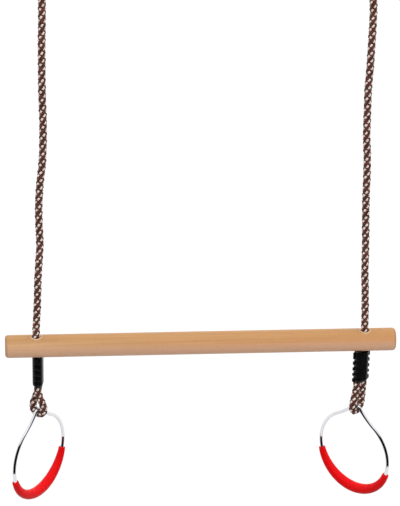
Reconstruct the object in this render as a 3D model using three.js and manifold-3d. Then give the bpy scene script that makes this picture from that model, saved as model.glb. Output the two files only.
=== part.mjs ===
// A child's trapeze: a round wooden bar hung on two braided ropes. Under each end of the bar a
// moulded clamp grips the doubled rope, and the rope's lower loop carries a wire gym ring with a
// plastic grip. Each rope's upper end goes round a thimble on a welded hanging ring.
// Millimetres, +X along the bar to the right, +Z up, -Y to the front. The origin lies on the line
// where two hooks bear, at the inner top of the hanging rings and midway between them.
import * as THREE from "three";
import { mergeVertices } from "three/addons/utils/BufferGeometryUtils.js";
import Module from "manifold-3d";

const wasm = await Module();
wasm.setup();

// Fits that every piece shares
const seatGap = 0.3; // between two pieces that touch
const cutOverrun = 1; // by which a cutting tool stands out of what it cuts
const weldDistance = 0.001;

// Wooden bar
const barLength = 580;
const barDiameter = 34;
const barEdgeRadius = 5;
const barDrop = 710; // from the hook line down to the bar's axis
const holeInset = 46; // from an end face to a rope hole's axis
const holeClearance = 1.6; // between the rope and the hole's wall
const holeRimRadius = 1.5;

// Braided rope
const ropeDiameter = 10.4;
const strandGap = 0.4; // between the two strands in a clamp
const upperTailLength = 8; // that stands out of the upper clamp

// Rope clamps
const clampLength = 52;
const clampWall = 2.3; // between a strand and the broad faces
const clampSideWall = 3.1; // between a strand and the narrow sides
const clampTopRadius = 1;
const clampFootHeight = 5; // over which the foot rounds in towards the rope
const clampFootLip = 0.4; // of wall left round the strands at the foot
const clampTopBand = 11.5; // of plain sleeve above the highest notch
const clampFootBand = 7.8; // of plain sleeve below the lowest notch
const clampNotches = 4; // down each narrow side
const notchHeight = 3.6;
const notchDepth = 4;
const lowerTailSetback = 1; // of the rope's cut end below the lower clamp's top face

// Hanging rings and thimbles
const hangingRingSpacing = 462;
const hangingRingBore = 40;
const hangingRingWire = 5;
const thimbleBore = 22;
const thimbleLength = 36; // of the bore, from its round top to its point
const thimbleFloor = 2.5; // of plastic between the bore and the rope
const thimbleWidth = 13;
const thimbleBevelWidth = 3;
const thimbleBevelHeight = 1.5;
const thimbleFlangeSetback = 0.5; // of the flange's edge from the rope's centre line
const thimbleHeel = 7; // of plastic below the bore's point
const eyeNeck = 44; // from the thimble's centre down to the upper clamp
const eyeStraight = 5; // of rope that leaves the clamp upright

// Gym rings
const ringRadius = 63.3; // of the round part's centre line
const ringWire = 5.6;
const shoulderFootSlope = THREE.MathUtils.degToRad(32.5);
const shoulderTopSlope = THREE.MathUtils.degToRad(49);
const gripHalfAngle = THREE.MathUtils.degToRad(74);
const gripEndDiameter = 10;
const gripMiddleDiameter = 16.2;
const gripEdgeRadius = 0.8;

// How finely curves are stepped
const barSides = 32;
const edgeSteps = 2;
const boreSides = 16;
const ropeSides = 8;
const ropeStep = 16;
const bendStep = 4.5;
const wireSides = 8;
const gripSides = 14;
const seatArcSteps = 4;
const shoulderSteps = 4;
const roundArcSteps = 26;
const gripSteps = 24;
const torusSteps = 36;
const clampCurveSteps = 5;
const clampFootSteps = 3;
const notchCurveSteps = 2;
const thimbleCurveSteps = 6;

// Each side's own lie. The main strand leaves the bar off the hole's axis by strandShift. The
// angles are turns about Z: toTail, from +X, points from the main strand to the tail strand in
// the lower clamp, and loopTwist is how far the loop turns below the clamp. The loop's foot lies
// off the clamp's centre by loopLean.
const sides = [
  {
    name: "left",
    sign: -1,
    strandShift: 1.3,
    toTail: THREE.MathUtils.degToRad(79),
    loopTwist: THREE.MathUtils.degToRad(64.5),
    loopLean: [0, 0],
    // Main strand between the clamps: x and y, then the height above the bar's axis
    route: [
      [-244, 0, 24],
      [-243.4, 0, 40],
      [-241.7, 0, 73],
      [-240.8, 0, 106],
      [-238.9, 0.2, 139],
      [-237.2, 0.4, 170],
      [-238.3, 0.7, 205],
      [-238.1, 1, 236],
      [-236, 1.3, 268],
      [-232.6, 1.7, 300],
      [-231.3, 2.2, 332],
      [-231, 2.7, 364],
      [-231.7, 3.2, 395],
      [-232.1, 3.7, 425],
      [-232, 4.1, 456],
      [-231.9, 4.5, 486],
      [-231.2, 4.9, 516],
      [-231, 5.3, 544],
    ],
  },
  {
    name: "right",
    sign: 1,
    strandShift: 1.3,
    toTail: THREE.MathUtils.degToRad(205),
    loopTwist: THREE.MathUtils.degToRad(20.6),
    loopLean: [-4.2, -2.2],
    route: [
      [243.3, 0, 24],
      [242.7, 0, 46],
      [241.3, 0, 80],
      [239.3, 0, 113],
      [238.6, 0.3, 146],
      [237.4, 0.5, 180],
      [236, 0.8, 212],
      [235.2, 1.1, 244],
      [235, 1.5, 276],
      [233.9, 1.9, 306],
      [231.9, 2.3, 332],
      [231.2, 2.8, 372],
      [230.8, 3.3, 408],
      [232, 3.8, 440],
      [232.5, 4.3, 470],
      [232.9, 4.7, 500],
      [232.8, 5, 524],
      [231.9, 5.3, 546],
    ],
  },
];

// Lower loop's route, the same on both sides: depth below the clamp, then half the distance
// between the two strands
const loopRoute = [
  [0, 5.4],
  [5, 5.4],
  [12, 5.7],
  [19, 6.7],
  [26, 8.2],
  [33, 9.5],
  [40.2, 9.8],
  [45.1, 8.5],
  [48.7, 4.9],
  [50, 0],
];
const loopTwistDepth = 40; // over which the loop makes its turn

// Sizes that follow from the ones above
const ropeRadius = ropeDiameter / 2;
const strandPitch = ropeDiameter + strandGap;
const strandBore = ropeRadius + seatGap;
const clampThickness = 2 * (strandBore + clampWall);
const clampWidth = strandPitch + 2 * (strandBore + clampSideWall);
const clampFootInset = clampWall - clampFootLip;
const holeX = barLength / 2 - holeInset;
const barRadius = barDiameter / 2;
const barZ = -barDrop;
const hangingX = hangingRingSpacing / 2;
const hangingRingCentreZ = -hangingRingBore / 2;
const swingZ = -hangingRingBore - hangingRingWire / 2;
const lowerClampTopZ = barZ - barRadius - seatGap;
const lowerClampFootZ = lowerClampTopZ - clampLength;

// A flat stretch of the thimble's bore lies across the hanging ring's curved wire, so it clears
// the wire's rise there as well
const thimbleHalfFlat = thimbleWidth / 2 - thimbleBevelWidth;
const wireRise =
  hangingRingBore / 2 - Math.sqrt((hangingRingBore / 2) ** 2 - thimbleHalfFlat ** 2);
const thimbleBoreRadius = thimbleBore / 2;
const thimbleCentreZ =
  swingZ + hangingRingWire / 2 + wireRise + seatGap - thimbleBoreRadius;
const eyeRadius = thimbleBoreRadius + thimbleFloor + seatGap + ropeRadius;
const upperClampTopZ = thimbleCentreZ - eyeNeck;
const upperClampFootZ = upperClampTopZ - clampLength;

// The gym ring's pointed seat is bent round the rope that carries it
const seatRadius = ropeRadius + seatGap + ringWire / 2;
const loopDepth = loopRoute.at(-1)[0];
const loopFootZ = lowerClampFootZ - seatGap - loopDepth;
const ringPeakZ = loopFootZ + seatRadius;

// Materials
const beech = new THREE.MeshStandardMaterial({ color: 0xd8a775, roughness: 0.5, metalness: 0 });
const braid = new THREE.MeshStandardMaterial({ color: 0x8d6455, roughness: 0.85, metalness: 0 });
const blackPlastic = new THREE.MeshStandardMaterial({
  color: 0x101012,
  roughness: 0.42,
  metalness: 0,
});
const redPlastic = new THREE.MeshStandardMaterial({
  color: 0xd81e22,
  roughness: 0.38,
  metalness: 0,
});
const chrome = new THREE.MeshStandardMaterial({ color: 0xd9dade, roughness: 0.12, metalness: 1 });
const zinc = new THREE.MeshStandardMaterial({ color: 0xb9bcc0, roughness: 0.35, metalness: 1 });

// A closed geometry as a solid that can be joined and cut
function solidOf(geometry) {
  const bare = new THREE.BufferGeometry();
  bare.setAttribute("position", geometry.getAttribute("position"));
  bare.setIndex(geometry.index);
  const merged = mergeVertices(bare, weldDistance);
  return new wasm.Manifold(
    new wasm.Mesh({
      numProp: 3,
      vertProperties: merged.getAttribute("position").array,
      triVerts: new Uint32Array(merged.index.array),
    }),
  );
}

// What is left of a closed geometry once the tools are cut out of it
function cut(geometry, tools) {
  const left = tools.reduce((body, tool) => body.subtract(solidOf(tool)), solidOf(geometry));
  const mesh = left.getMesh();
  const cutGeometry = new THREE.BufferGeometry();
  cutGeometry.setAttribute("position", new THREE.BufferAttribute(mesh.vertProperties, 3));
  cutGeometry.setIndex(new THREE.BufferAttribute(mesh.triVerts, 1));
  cutGeometry.computeVertexNormals();
  return cutGeometry;
}

// A closed skin over a row of sections with the same number of points each. A ring's last section
// meets its first, and any other row ends in flat caps.
function loft(sections, isRing) {
  const count = sections[0].length;
  const points = sections.flat();
  const indices = [];
  const bands = isRing ? sections.length : sections.length - 1;
  for (let i = 0; i < bands; i++) {
    const here = i * count;
    const next = ((i + 1) % sections.length) * count;
    for (let j = 0; j < count; j++) {
      const k = (j + 1) % count;
      indices.push(here + j, next + j, next + k);
      indices.push(here + j, next + k, here + k);
    }
  }
  if (!isRing) {
    const last = (sections.length - 1) * count;
    for (let j = 1; j < count - 1; j++) {
      indices.push(0, j, j + 1);
      indices.push(last, last + j + 1, last + j);
    }
  }
  const geometry = new THREE.BufferGeometry().setFromPoints(points);
  geometry.setIndex(indices);
  geometry.computeVertexNormals();
  return geometry;
}

// A round rope of the given radius along a curve
function ropeAlong(curve, radius, step) {
  const section = new THREE.Shape();
  section.absarc(0, 0, radius, 0, 2 * Math.PI, false);
  return new THREE.ExtrudeGeometry(section, {
    curveSegments: ropeSides / 2, // three.js takes two steps of a full circle for each of these
    steps: Math.round(curve.getLength() / step),
    bevelEnabled: false,
    extrudePath: curve,
  });
}

function namedMesh(name, geometry, material) {
  const mesh = new THREE.Mesh(geometry, material);
  mesh.name = name;
  return mesh;
}

// Wooden bar, with its two rope holes rounded at the rims
function barGeometry() {
  const end = barLength / 2;
  const flat = barRadius - barEdgeRadius;
  const profile = new THREE.Path();
  profile.moveTo(0, -end);
  profile.lineTo(flat, -end);
  profile.absarc(flat, barEdgeRadius - end, barEdgeRadius, -Math.PI / 2, 0, false);
  profile.absarc(flat, end - barEdgeRadius, barEdgeRadius, 0, Math.PI / 2, false);
  profile.lineTo(0, end);
  const turned = new THREE.LatheGeometry(profile.getPoints(edgeSteps), barSides);
  turned.rotateZ(-Math.PI / 2);
  return cut(turned, [holeCutter(-holeX), holeCutter(holeX)]);
}

// Upright cutter for a rope hole, which flares where it meets the bar's surface
function holeCutter(x) {
  const radius = ropeRadius + holeClearance;
  const flareZ = barRadius - holeRimRadius;
  const end = barRadius + cutOverrun;
  const profile = new THREE.Path();
  profile.moveTo(0, -end);
  profile.lineTo(radius + holeRimRadius, -end);
  profile.lineTo(radius + holeRimRadius, -barRadius);
  profile.absarc(radius + holeRimRadius, -flareZ, holeRimRadius, -Math.PI / 2, -Math.PI, true);
  profile.absarc(radius + holeRimRadius, flareZ, holeRimRadius, Math.PI, Math.PI / 2, true);
  profile.lineTo(radius + holeRimRadius, end);
  profile.lineTo(0, end);
  const cutter = new THREE.LatheGeometry(profile.getPoints(edgeSteps), boreSides);
  cutter.rotateX(Math.PI / 2);
  cutter.translate(x, 0, 0);
  return cutter;
}

// The clamp's outline at a height, drawn in by inset: two half circles joined by flats
function clampSection(inset, z) {
  const endRadius = clampThickness / 2 - inset;
  const endX = (clampWidth - clampThickness) / 2;
  const section = [];
  for (const sign of [1, -1]) {
    for (let i = 0; i <= clampCurveSteps; i++) {
      const angle = (i / clampCurveSteps) * Math.PI - Math.PI / 2;
      const x = sign * (endX + endRadius * Math.cos(angle));
      const y = sign * endRadius * Math.sin(angle);
      section.push(new THREE.Vector3(x, y, z));
    }
  }
  return section;
}

// Rope clamp, its top face at z = 0: a moulded sleeve round two strands that rounds in at its
// foot, with ribs down both narrow sides and notches that open onto the strands between them
function clampGeometry() {
  const sections = [];
  for (let i = 0; i <= edgeSteps; i++) {
    const turn = ((i / edgeSteps) * Math.PI) / 2;
    const z = -clampTopRadius * (1 - Math.cos(turn));
    sections.push(clampSection(clampTopRadius * (1 - Math.sin(turn)), z));
  }
  for (let i = 0; i <= clampFootSteps; i++) {
    const turn = ((i / clampFootSteps) * Math.PI) / 2;
    const z = clampFootHeight * (1 - Math.sin(turn)) - clampLength;
    sections.push(clampSection(clampFootInset * (1 - Math.cos(turn)), z));
  }
  const tools = [];
  for (const sign of [-1, 1]) {
    tools.push(strandBoreCutter((sign * strandPitch) / 2));
    for (let i = 0; i < clampNotches; i++) tools.push(notchCutter(sign, i));
  }
  return cut(loft(sections, false), tools);
}

function strandBoreCutter(x) {
  const length = clampLength + 2 * cutOverrun;
  const cutter = new THREE.CylinderGeometry(strandBore, strandBore, length, boreSides);
  cutter.rotateX(Math.PI / 2);
  cutter.translate(x, 0, -clampLength / 2);
  return cutter;
}

// Notch number i from the top, on the side that sign gives
function notchCutter(sign, i) {
  const radius = notchHeight / 2;
  const outer = clampWidth / 2 + cutOverrun;
  const slot = new THREE.Shape();
  slot.moveTo(outer, -radius);
  slot.lineTo(outer, radius);
  slot.absarc(clampWidth / 2 - notchDepth + radius, 0, radius, Math.PI / 2, 1.5 * Math.PI, false);
  const depth = clampThickness + 2 * cutOverrun;
  const cutter = new THREE.ExtrudeGeometry(slot, {
    depth,
    curveSegments: notchCurveSteps,
    bevelEnabled: false,
  });
  const notched = clampLength - clampTopBand - clampFootBand;
  const pitch = (notched - notchHeight) / (clampNotches - 1);
  cutter.translate(0, 0, -depth / 2);
  cutter.rotateX(Math.PI / 2);
  cutter.rotateZ(sign > 0 ? 0 : Math.PI);
  cutter.translate(0, 0, -clampTopBand - notchHeight / 2 - i * pitch);
  return cutter;
}

// The eye of rope round the thimble, in the YZ plane about the thimble's centre: up from the cut
// end, round the top and down to the main strand's side of the upper clamp
function eyeCurve(tailLength) {
  const strandY = strandPitch / 2;
  const neckZ = eyeStraight - eyeNeck;
  const reach = Math.hypot(strandY, neckZ);
  const lean = Math.asin(eyeRadius / reach) - Math.atan(strandY / -neckZ);
  const arc = [];
  const steps = Math.round((eyeRadius * (Math.PI + 2 * lean)) / bendStep);
  for (let i = 0; i <= steps; i++) {
    const angle = Math.PI + lean - (i / steps) * (Math.PI + 2 * lean);
    arc.push(new THREE.Vector3(0, eyeRadius * Math.cos(angle), eyeRadius * Math.sin(angle)));
  }
  const leg = (sign) => [
    new THREE.Vector3(0, sign * strandY, -eyeNeck),
    new THREE.Vector3(0, sign * strandY, neckZ - eyeStraight / 2),
  ];
  const tailEnd = new THREE.Vector3(0, -strandY, -eyeNeck - tailLength);
  const points = [tailEnd, ...leg(-1), ...arc, ...leg(1).reverse()];
  return new THREE.CatmullRomCurve3(points, false, "centripetal");
}

function eyeGeometry() {
  return ropeAlong(eyeCurve(clampLength + upperTailLength), ropeRadius, bendStep);
}

// Thimble about its centre: a grooved teardrop of plastic with a crowned bore
function thimbleGeometry() {
  const flangeRadius = eyeRadius - thimbleFlangeSetback;
  const pointZ = thimbleBoreRadius - thimbleLength;
  const heelZ = pointZ - thimbleHeel;
  const legLean = Math.asin(eyeRadius / eyeNeck) - Math.atan(strandPitch / 2 / eyeNeck);
  const heelY = (flangeRadius + heelZ * Math.sin(legLean)) / Math.cos(legLean);
  const outline = new THREE.Shape();
  outline.absarc(0, 0, flangeRadius, -legLean, Math.PI + legLean, false);
  outline.lineTo(-heelY, heelZ);
  outline.lineTo(heelY, heelZ);
  const boreLean = Math.asin(thimbleBoreRadius / -pointZ);
  const bore = new THREE.Path();
  bore.absarc(0, 0, thimbleBoreRadius, -boreLean, Math.PI + boreLean, false);
  bore.lineTo(0, pointZ);
  outline.holes.push(bore);
  const plate = new THREE.ExtrudeGeometry(outline, {
    depth: thimbleWidth - 2 * thimbleBevelWidth,
    curveSegments: thimbleCurveSteps,
    bevelThickness: thimbleBevelWidth,
    bevelSize: thimbleBevelHeight,
    bevelOffset: -thimbleBevelHeight,
    bevelSegments: edgeSteps,
  });
  plate.translate(0, 0, thimbleBevelWidth - thimbleWidth / 2);
  plate.applyMatrix4(
    new THREE.Matrix4().makeBasis(
      new THREE.Vector3(0, 1, 0),
      new THREE.Vector3(0, 0, 1),
      new THREE.Vector3(1, 0, 0),
    ),
  );
  return cut(plate, [ropeAlong(eyeCurve(0), strandBore, bendStep)]);
}

function lowerStrandX(side) {
  return side.sign * holeX + side.strandShift;
}

// Main strand from the upper clamp's top face, through the bar, to the lower clamp's foot
function mainStrandGeometry(side) {
  const hangX = side.sign * hangingX;
  const upperY = strandPitch / 2;
  const upright = (x, y, top, foot) => [
    new THREE.Vector3(x, y, top),
    new THREE.Vector3(x, y, (top + foot) / 2),
    new THREE.Vector3(x, y, foot),
  ];
  const free = side.route.map(([x, y, z]) => new THREE.Vector3(x, y, barZ + z)).reverse();
  const points = [
    ...upright(hangX, upperY, upperClampTopZ - seatGap, upperClampFootZ),
    ...free,
    ...upright(lowerStrandX(side), 0, barZ - barRadius, lowerClampFootZ),
  ];
  const curve = new THREE.CatmullRomCurve3(points, false, "centripetal");
  return ropeAlong(curve, ropeRadius, ropeStep);
}

// The rope's cut end in the lower clamp
function lowerTailGeometry() {
  const length = clampLength - lowerTailSetback;
  const tail = new THREE.CylinderGeometry(ropeRadius, ropeRadius, length, ropeSides);
  tail.rotateX(Math.PI / 2);
  tail.translate(0, 0, -lowerTailSetback - length / 2);
  return tail;
}

// Lower loop in the clamp's own directions, from the clamp's foot: down one strand, round the
// foot and up the other
function loopGeometry(side) {
  const leaning = new THREE.Vector3(side.loopLean[0], side.loopLean[1], 0);
  leaning.applyAxisAngle(new THREE.Vector3(0, 0, 1), -side.toTail);
  const place = ([depth, half], sign) => {
    const turn = THREE.MathUtils.smoothstep(depth, 0, loopTwistDepth) * side.loopTwist;
    const leanShare = THREE.MathUtils.smoothstep(depth, 0, loopDepth);
    return new THREE.Vector3(
      sign * half * Math.cos(turn) + leanShare * leaning.x,
      sign * half * Math.sin(turn) + leanShare * leaning.y,
      -depth,
    );
  };
  const down = loopRoute.map((row) => place(row, -1));
  const up = loopRoute.map((row) => place(row, 1)).reverse();
  const points = [...down, ...up.slice(1)];
  const curve = new THREE.CatmullRomCurve3(points, false, "centripetal");
  return ropeAlong(curve, ropeRadius, bendStep);
}

// Centre line of the gym ring's right half, from its peak at the origin down to the bottom: a
// small arc bent round the rope, a hollow shoulder, then the round part. Each entry is a point
// and the direction that faces outwards there, as an angle from +X towards +Z.
function ringHalfOutline() {
  const topFacing = Math.PI / 2 - shoulderTopSlope;
  const footFacing = Math.PI / 2 - shoulderFootSlope;
  const shoulderRadius =
    (ringRadius * Math.sin(shoulderFootSlope) - seatRadius * Math.sin(shoulderTopSlope)) /
    (Math.sin(shoulderTopSlope) - Math.sin(shoulderFootSlope));
  const at = (centre, radius, facing) => [
    centre[0] + radius * Math.cos(facing),
    centre[1] + radius * Math.sin(facing),
  ];
  const seatCentre = [0, -seatRadius];
  const shoulderCentre = at(at(seatCentre, seatRadius, topFacing), shoulderRadius, topFacing);
  const shoulderFoot = at(shoulderCentre, -shoulderRadius, footFacing);
  const roundCentre = at(shoulderFoot, -ringRadius, footFacing);
  const arcs = [
    [seatCentre, seatRadius, Math.PI / 2, topFacing, seatArcSteps],
    [shoulderCentre, -shoulderRadius, topFacing, footFacing, shoulderSteps],
    [roundCentre, ringRadius, footFacing, -Math.PI / 2, roundArcSteps],
  ];
  const outline = [];
  for (const [centre, radius, start, end, steps] of arcs) {
    for (let i = 0; i < steps; i++) {
      const facing = start + ((end - start) * i) / steps;
      outline.push({ point: at(centre, radius, facing), facing });
    }
  }
  outline.push({ point: at(roundCentre, ringRadius, -Math.PI / 2), facing: -Math.PI / 2 });
  return { outline, roundCentre };
}

// A circle of points across the ring's wire, in the ring's own XZ plane
function wireSection([x, z], facing, radius, count) {
  const section = [];
  for (let i = 0; i < count; i++) {
    const turn = (2 * Math.PI * i) / count;
    const out = radius * Math.cos(turn);
    const across = radius * Math.sin(turn);
    section.push(
      new THREE.Vector3(x + out * Math.cos(facing), across, z + out * Math.sin(facing)),
    );
  }
  return section;
}

function ringWireGeometry() {
  const { outline } = ringHalfOutline();
  const mirrored = outline
    .slice(1, -1)
    .reverse()
    .map(({ point, facing }) => ({ point: [-point[0], point[1]], facing: Math.PI - facing }));
  const whole = [...outline, ...mirrored];
  const sections = whole.map(({ point, facing }) =>
    wireSection(point, facing, ringWire / 2, wireSides),
  );
  return loft(sections, true);
}

// Plastic grip on the ring's round part, fattest in the middle
function gripGeometry() {
  const { roundCentre } = ringHalfOutline();
  const arcSection = (angle, radius, count) => {
    const facing = -Math.PI / 2 - angle;
    const point = [
      roundCentre[0] + ringRadius * Math.cos(facing),
      roundCentre[1] + ringRadius * Math.sin(facing),
    ];
    return wireSection(point, facing, radius, count);
  };
  const swelling = (gripMiddleDiameter - gripEndDiameter) / 2;
  const gripRadius = (angle) =>
    gripEndDiameter / 2 + swelling * Math.cos(((angle / gripHalfAngle) * Math.PI) / 2);
  const edgeAngle = gripEdgeRadius / ringRadius;
  const skin = [arcSection(-gripHalfAngle, gripEndDiameter / 2 - gripEdgeRadius, gripSides)];
  for (let i = 0; i <= gripSteps; i++) {
    const share = (2 * i) / gripSteps - 1;
    const angle = share * (gripHalfAngle - edgeAngle);
    skin.push(arcSection(angle, gripRadius(angle), gripSides));
  }
  skin.push(arcSection(gripHalfAngle, gripEndDiameter / 2 - gripEdgeRadius, gripSides));
  const boreHalfAngle = gripHalfAngle + cutOverrun / ringRadius;
  const bore = [];
  for (let i = 0; i <= gripSteps; i++) {
    const share = (2 * i) / gripSteps - 1;
    bore.push(arcSection(share * boreHalfAngle, ringWire / 2 + seatGap, wireSides));
  }
  return cut(loft(skin, false), [loft(bore, false)]);
}

function hangingRingGeometry() {
  const radius = (hangingRingBore + hangingRingWire) / 2;
  const ring = new THREE.TorusGeometry(radius, hangingRingWire / 2, wireSides, torusSteps);
  ring.rotateX(Math.PI / 2);
  return ring;
}

// What hangs from one hook, down to the upper clamp
function suspension(side, clampShape) {
  const group = new THREE.Group();
  group.position.set(side.sign * hangingX, 0, 0);
  const ring = namedMesh(side.name + "_hanging_ring", hangingRingGeometry(), zinc);
  ring.position.z = hangingRingCentreZ;
  const thimble = namedMesh(side.name + "_thimble", thimbleGeometry(), blackPlastic);
  thimble.position.z = thimbleCentreZ;
  const eye = namedMesh(side.name + "_rope_eye", eyeGeometry(), braid);
  eye.position.z = thimbleCentreZ;
  const clamp = namedMesh(side.name + "_upper_clamp", clampShape, blackPlastic);
  clamp.position.z = upperClampTopZ;
  clamp.rotation.z = Math.PI / 2;
  group.add(ring, thimble, eye, clamp);
  return group;
}

// The lower clamp with the tail strand and the loop below it, about the clamp's centre
function lowerFitting(side, clampShape) {
  const group = new THREE.Group();
  group.position.set(
    lowerStrandX(side) + (Math.cos(side.toTail) * strandPitch) / 2,
    (Math.sin(side.toTail) * strandPitch) / 2,
    lowerClampTopZ,
  );
  group.rotation.z = side.toTail;
  const clamp = namedMesh(side.name + "_lower_clamp", clampShape, blackPlastic);
  const tail = namedMesh(side.name + "_rope_tail", lowerTailGeometry(), braid);
  tail.position.x = strandPitch / 2;
  const loop = namedMesh(side.name + "_rope_loop", loopGeometry(side), braid);
  loop.position.z = -clampLength - seatGap;
  group.add(clamp, tail, loop);
  return group;
}

// A gym ring and its grip, square to the loop that carries them
function gymRing(side) {
  const group = new THREE.Group();
  group.position.set(
    lowerStrandX(side) + (Math.cos(side.toTail) * strandPitch) / 2 + side.loopLean[0],
    (Math.sin(side.toTail) * strandPitch) / 2 + side.loopLean[1],
    ringPeakZ,
  );
  group.rotation.z = side.toTail + side.loopTwist - Math.PI / 2;
  group.add(
    namedMesh(side.name + "_ring_wire", ringWireGeometry(), chrome),
    namedMesh(side.name + "_grip", gripGeometry(), redPlastic),
  );
  return group;
}

const trapeze = new THREE.Group();
const clampShape = clampGeometry();
const bar = namedMesh("bar", barGeometry(), beech);
bar.position.z = barZ;
trapeze.add(bar);
for (const side of sides) {
  trapeze.add(
    suspension(side, clampShape),
    namedMesh(side.name + "_rope", mainStrandGeometry(side), braid),
    lowerFitting(side, clampShape),
    gymRing(side),
  );
}

export default trapeze;
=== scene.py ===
"""Looks of a trapeze bar with two gym rings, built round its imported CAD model.

The bar hangs on two braided ropes. Metres, +X along the bar to the right, +Z up, -Y to the front;
the origin lies on the line where two hooks bear, midway between the hanging rings.
"""

import math

import bmesh
import bpy
import numpy as np
from mathutils import Matrix, Vector


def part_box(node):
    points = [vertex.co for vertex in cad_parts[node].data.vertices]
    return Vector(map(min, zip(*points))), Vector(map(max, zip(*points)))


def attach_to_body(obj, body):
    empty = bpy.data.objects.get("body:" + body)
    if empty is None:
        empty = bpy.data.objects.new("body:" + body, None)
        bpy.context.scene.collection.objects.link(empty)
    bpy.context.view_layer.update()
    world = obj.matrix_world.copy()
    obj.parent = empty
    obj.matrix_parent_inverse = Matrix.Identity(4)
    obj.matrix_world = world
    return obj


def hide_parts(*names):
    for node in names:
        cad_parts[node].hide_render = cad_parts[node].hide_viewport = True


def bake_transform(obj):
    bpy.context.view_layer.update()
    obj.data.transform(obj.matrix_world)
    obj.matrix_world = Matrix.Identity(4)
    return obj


bl_info = {
    "name": "Trapeze Bar with Gym Rings",
    "version": (1, 0, 0),
    "blender": (4, 5, 0),
    "location": "View3D > Sidebar > Trapeze",
    "description": "Builds a wooden trapeze bar, its ropes, clamps and gym rings",
    "category": "Add Mesh",
}

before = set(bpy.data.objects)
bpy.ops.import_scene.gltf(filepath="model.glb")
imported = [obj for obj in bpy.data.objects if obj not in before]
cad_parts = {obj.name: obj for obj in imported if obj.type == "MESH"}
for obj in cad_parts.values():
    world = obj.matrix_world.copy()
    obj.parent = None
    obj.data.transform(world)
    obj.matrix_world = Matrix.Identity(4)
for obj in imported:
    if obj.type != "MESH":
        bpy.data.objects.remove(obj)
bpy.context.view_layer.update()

bar_low, bar_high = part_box("bar")

# Where pieces stand, as the CAD model has them
BAR_Z = (bar_low.z + bar_high.z) / 2
HOLE_X = 0.244
HANGING_X = 0.231
HANGING_RING_Z = -0.02
THIMBLE_Z = -0.05039
UPPER_CLAMP_Z = -0.09439
LOWER_CLAMP_Z = -0.7273
LOOP_TOP_Z = -0.7796
RING_PEAK_Z = -0.8213
SPLIT_Z = -0.7655  # where a rope's two lengths meet, inside the lower clamp
SPLIT_GAP = 0.0003  # from there to the loop's last point, and from a clamp's top to the next point
ROPE_IN_CLAMP_Z = -0.753
TAIL_IN_CLAMP_ZS = (-0.745, -0.762)
EYE_RADIUS = 0.019  # of the rope's middle round the thimble
EYE_NECK = 0.044  # from the thimble's centre down to the clamp
EYE_STRAIGHT = 0.005
EYE_STEP = 0.0045  # between the route's points round the eye
SPAN_STEPS = 24  # of a curve between two points of its route
TAIL_FOOT_Z = -0.15439  # the cut end below the upper clamp
TAIL_TOP_Z = -0.7283  # the cut end inside the lower clamp
NEAR = 1e-6  # within which a vertex counts as lying at a place
OVERRUN = 0.002  # of a cutter past what it cuts

# Each side's own lie: the strand below the bar, the turn from +X towards the tail strand, the
# loop's twist and lean, and the rope's route as x, y and height above the bar's axis. Its braid
# has a lay, the length in which a yarn goes round once, and drifts back once round in drift.
SIDES = {
    "left": {
        "sign": -1,
        "strand_x": -0.2427,
        "to_tail": math.radians(79),
        "twist": math.radians(64.5),
        "lean": (0.0, 0.0),
        "braid": {"lay": 0.0358, "shift": 0.03454, "drift": 0.2358, "phase": 4.172},
        "route": [
            (-0.244, 0, 0.024), (-0.2434, 0, 0.04), (-0.2417, 0, 0.073),
            (-0.2408, 0, 0.106), (-0.2389, 0.0002, 0.139), (-0.2372, 0.0004, 0.17),
            (-0.2383, 0.0007, 0.205), (-0.2381, 0.001, 0.236), (-0.236, 0.0013, 0.268),
            (-0.2326, 0.0017, 0.3), (-0.2313, 0.0022, 0.332), (-0.231, 0.0027, 0.364),
            (-0.2317, 0.0032, 0.395), (-0.2321, 0.0037, 0.425), (-0.232, 0.0041, 0.456),
            (-0.2319, 0.0045, 0.486), (-0.2312, 0.0049, 0.516), (-0.231, 0.0053, 0.544),
        ],
    },
    "right": {
        "sign": 1,
        "strand_x": 0.2453,
        "to_tail": math.radians(205),
        "twist": math.radians(20.6),
        "lean": (-0.0042, -0.0022),
        "braid": {"lay": 0.0353, "shift": 0.00352, "drift": 0.2618, "phase": 3.584},
        "route": [
            (0.2433, 0, 0.024), (0.2427, 0, 0.046), (0.2413, 0, 0.08),
            (0.2393, 0, 0.113), (0.2386, 0.0003, 0.146), (0.2374, 0.0005, 0.18),
            (0.236, 0.0008, 0.212), (0.2352, 0.0011, 0.244), (0.235, 0.0015, 0.276),
            (0.2339, 0.0019, 0.306), (0.2319, 0.0023, 0.332), (0.2312, 0.0028, 0.372),
            (0.2308, 0.0033, 0.408), (0.232, 0.0038, 0.44), (0.2325, 0.0043, 0.47),
            (0.2329, 0.0047, 0.5), (0.2328, 0.005, 0.524), (0.2319, 0.0053, 0.546),
        ],
    },
}

# Lower loop's route: depth below the clamp, then half the distance between its strands
LOOP_ROUTE = [
    (0, 0.0054), (0.005, 0.0054), (0.012, 0.0057), (0.019, 0.0067), (0.026, 0.0082),
    (0.033, 0.0095), (0.0402, 0.0098), (0.0451, 0.0085), (0.0487, 0.0049), (0.05, 0),
]
LOOP_DEPTH = LOOP_ROUTE[-1][0]
LOOP_TWIST_DEPTH = 0.04  # over which the loop takes its twist

# A braid: its yarns, the sides of a yarn and of the core, the distance between its rings of
# points, and how it narrows in a clamp
YARNS = 12
YARN_SIDES = 8
CORE_SIDES = 10
ROPE_STEP = 0.00095
LOOP_STEP = 0.0009
SQUEEZE_SHARE = 0.2
SQUEEZE_LENGTH = 0.006
BROWN, CREAM, CORE, MELTED = range(4)  # its materials' slots
YARN_MAP_SHIFT = 0.37  # of a yarn's map from its whole number
YARN_TWIST = 38  # turns a metre of a yarn's own fibres
YARN_PLIES = 16  # ridges round a yarn

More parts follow.
